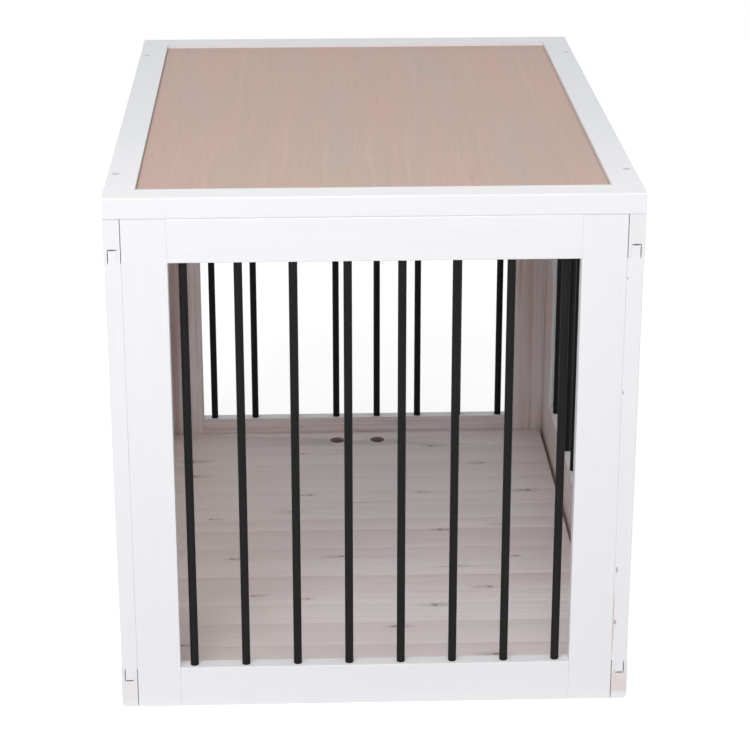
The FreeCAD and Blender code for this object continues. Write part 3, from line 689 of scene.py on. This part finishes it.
class CRATE_OT_floor(bpy.types.Operator):
    """Lay the floor panel out of glued strips, with its two finger holes"""
    bl_idname = "crate.floor"
    bl_label = "Floor"

    def execute(self, context):
        look = context.scene.crate_floor
        low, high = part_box("floor_panel")
        widths = np.random.default_rng(WIDTH_SEED).uniform(0.6, 1.3, look.strips)
        marks = np.concatenate([[0.0], widths.cumsum()])
        edges = np.interp(marks, (0.0, widths.sum()), (low.y, high.y)).tolist()
        solids = [plank((low.x, a, low.z), (high.x, b, high.z), look.ease) for a, b in zip(edges, edges[1:])]
        tones = np.random.default_rng(TONE_SEED).random(len(solids))
        piece = add_piece("floor_strips", solids, "washed_floor", "floor", ("floor_panel",))
        strip = np.repeat(tones, [len(verts) for verts, faces in solids])
        tone = piece.data.attributes.new("strip", "FLOAT", "POINT")
        tone.data.foreach_set("value", strip.astype(np.float32))
        self.drill(piece, low.z, high.z, look.hole)
        return {"FINISHED"}

    def drill(self, piece, low, high, radius):
        """Cuts both finger holes with a turned cutter, and leaves no modifier behind."""
        rings = turned([(radius, low - CUTTER_PAST), (radius, high + CUTTER_PAST)], 48)
        solids = [loft(rings + np.array([x, HOLE_Y, 0.0])) for x in (-HOLE_X, HOLE_X)]
        cutter = add_piece("hole_cutter", solids, "washed_floor", "floor")
        modifier = piece.modifiers.new("holes", "BOOLEAN")
        modifier.operation = "DIFFERENCE"
        modifier.solver = "EXACT"
        modifier.object = cutter
        ready = piece.evaluated_get(bpy.context.evaluated_depsgraph_get())
        piece.data = bpy.data.meshes.new_from_object(ready)
        piece.modifiers.clear()
        bpy.data.objects.remove(cutter)


class CRATE_OT_fasteners(bpy.types.Operator):
    """Finish the dowels, battens, bolts and screws"""
    bl_idname = "crate.fasteners"
    bl_label = "Fasteners"

    def execute(self, context):
        for finish, nodes in (
                ("beech_lengthwise", ("top_frame_dowels",)),
                ("beech_across", ("front_frame_dowels", "back_frame_dowels")),
                ("pine_lengthwise", ("floor_cleat_left", "floor_cleat_right")),
                ("pine_across", ("floor_cleat_front", "floor_cleat_back")),
                ("zinc", ("corner_bolts", "corner_inserts", "top_screws", "floor_cleat_screws"))):
            for node in nodes:
                dress(node, finish)
        return {"FINISHED"}


class CRATE_OT_hardware(bpy.types.Operator):
    """Finish the hinges and the latch, and fit their screws"""
    bl_idname = "crate.hardware"
    bl_label = "Hinges and latch"
    sunk_head, pan_head = 0.0027, 0.0024          # radii of the two kinds of screw head
    pan_height, leaf = 0.0012, 0.0014             # how far a pan head stands out, and a leaf's thickness
    spacing = 0.032                               # between the two screws of a leaf

    def execute(self, context):
        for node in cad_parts:
            if node.startswith(("hinge", "latch", "keeper")):
                dress(node, "hardware_black")
        for node, body in (("hinge_frame_screws", "crate"), ("hinge_door_screws", "door"),
                           ("latch_screws", "door"), ("keeper_screws", "crate")):
            self.screws(node, body, node.startswith("hinge"))
        return {"FINISHED"}

    def screws(self, node, body, countersunk):
        """Screws with a pressed cross, where the node's own stand: in the corners of its box, seen along X,
        and on each hinge a spacing further in."""
        low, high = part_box(node)
        head = self.sunk_head if countersunk else self.pan_head
        drop, rise = (self.leaf, 0.0) if countersunk else (0.0, self.pan_height)
        shank = 0.52 * head
        face = high.x - rise
        across = sorted({round(low.y + head, 5), round(high.y - head, 5)})
        heights = [low.z + head, high.z - head]
        if countersunk:
            heights += [low.z + head + self.spacing, high.z - head - self.spacing]
        solids = []
        for y in across:
            for z in heights:
                rings = crossed_screw(head, drop, rise, shank, face - low.x, 0.7 * len(solids) + y)
                points, faces = loft(rings)
                solids.append((points[:, [2, 0, 1]] + np.array([face, y, z]), faces))
        add_piece("crossed_" + node, solids, "screw_black", body, (node,))


class CRATE_OT_stage(bpy.types.Operator):
    """Set the camera, the lamps, the room's light and the pale floor"""
    bl_idname = "crate.stage"
    bl_label = "Stage"

    def execute(self, context):
        look = context.scene.crate_stage
        self.camera(context, look)
        self.lamp(context, "front_lamp", look.key, FRONT_LAMP)
        self.lamp(context, "top_lamp", look.fill, TOP_LAMP)
        self.room(context, look)
        self.ground(context)
        context.scene.view_settings.view_transform = "Standard"
        return {"FINISHED"}

    def camera(self, context, look):
        data = bpy.data.cameras.new("camera")
        data.lens = look.lens
        data.sensor_width = 36.0
        data.shift_y = CAMERA_SHIFT
        camera = bpy.data.objects.new("camera", data)
        camera.location = look.eye
        camera.rotation_euler = (look.tilt, 0.0, look.heading)
        context.scene.collection.objects.link(camera)
        context.scene.camera = camera

    def lamp(self, context, name, power, place):
        data = bpy.data.lights.new(name, "AREA")
        data.energy = power
        data.shape = "DISK"
        data.size = LAMP_SIZE
        lamp = bpy.data.objects.new(name, data)
        lamp.location = place
        aim = Vector(LAMP_AIM) - lamp.location
        lamp.rotation_mode = "QUATERNION"
        lamp.rotation_quaternion = aim.to_track_quat("-Z", "Y")
        context.scene.collection.objects.link(lamp)

    def room(self, context, look):
        """Even light from all round; the camera and mirrors see it as plain white."""
        world = bpy.data.worlds.new("room")
        world.use_nodes = True
        tree = world.node_tree
        tree.nodes.clear()
        path = tree.nodes.new("ShaderNodeLightPath")
        seen = tree.nodes.new("ShaderNodeMath")
        seen.operation = "MAXIMUM"
        seen_any = tree.nodes.new("ShaderNodeMath")
        seen_any.operation = "MAXIMUM"
        strength = tree.nodes.new("ShaderNodeMapRange")
        strength.inputs["To Min"].default_value = look.sky
        strength.inputs["To Max"].default_value = 1.0
        background = tree.nodes.new("ShaderNodeBackground")
        background.inputs["Color"].default_value = (1.0, 1.0, 1.0, 1.0)
        output = tree.nodes.new("ShaderNodeOutputWorld")
        tree.links.new(path.outputs["Is Camera Ray"], seen.inputs[0])
        tree.links.new(path.outputs["Is Glossy Ray"], seen.inputs[1])
        tree.links.new(seen.outputs[0], seen_any.inputs[0])
        tree.links.new(path.outputs["Is Transmission Ray"], seen_any.inputs[1])
        tree.links.new(seen_any.outputs[0], strength.inputs["Value"])
        tree.links.new(strength.outputs[0], background.inputs["Strength"])
        tree.links.new(background.outputs[0], output.inputs["Surface"])
        context.scene.world = world

    def ground(self, context):
        """A wide pale floor that keeps the crate's shadow and looks white where the light is full."""
        r = Recipe("pale_ground")
        path = r.node("ShaderNodeLightPath")
        seen = r.maths("MAXIMUM", r.maths("MAXIMUM", path["Is Camera Ray"], path["Is Glossy Ray"]),
                       path["Is Transmission Ray"])
        matte = r.node("ShaderNodeBsdfDiffuse", None, {"Color": (0.78, 0.78, 0.79, 1.0)})
        x, y = r.axes(r.place())[:2]
        clear = r.maths("MAXIMUM", abs(x) > INNER_X, abs(y) > INNER_Y)
        glow = r.node("ShaderNodeEmission", None, {"Color": (1.0, 1.0, 1.0, 1.0),
                                                   "Strength": seen * clear * GROUND_GLOW})
        both = r.node("ShaderNodeAddShader", None, {0: matte, 1: glow})
        r.node("ShaderNodeOutputMaterial", None, {"Surface": both})
        mesh = bpy.data.meshes.new("ground")
        corners = ((-1, -1), (1, -1), (1, 1), (-1, 1))
        mesh.from_pydata([(a * GROUND_REACH, b * GROUND_REACH, 0.0) for a, b in corners], [], [(0, 1, 2, 3)])
        mesh.materials.append(r.material)
        ground = bpy.data.objects.new("ground", mesh)
        context.scene.collection.objects.link(ground)


OPERATORS = (CRATE_OT_frames, CRATE_OT_table_top, CRATE_OT_bars, CRATE_OT_floor, CRATE_OT_fasteners,
             CRATE_OT_hardware, CRATE_OT_stage)


class CRATE_PT_panel(bpy.types.Panel):
    """The operators and their properties in the sidebar."""
    bl_idname = "CRATE_PT_panel"
    bl_label = "Dog crate end table"
    bl_space_type = "VIEW_3D"
    bl_region_type = "UI"
    bl_category = "Crate"

    def draw(self, context):
        for operator in OPERATORS:
            self.layout.operator(operator.bl_idname)
        for name, group in GROUPS.items():
            box = self.layout.box()
            box.label(text=group.__doc__)
            for key in group.__annotations__:
                box.prop(getattr(context.scene, name), key)


CLASSES = (*GROUPS.values(), *OPERATORS, CRATE_PT_panel)


def register():
    for cls in CLASSES:
        bpy.utils.register_class(cls)
    for name, group in GROUPS.items():
        setattr(bpy.types.Scene, name, PointerProperty(type=group))


def unregister():
    for name in GROUPS:
        delattr(bpy.types.Scene, name)
    for cls in reversed(CLASSES):
        bpy.utils.unregister_class(cls)


def main():
    register()
    for operator in OPERATORS:
        group, name = operator.bl_idname.split(".")
        getattr(getattr(bpy.ops, group), name)()
    bpy.context.view_layer.update()


if __name__ == "__main__":
    main()
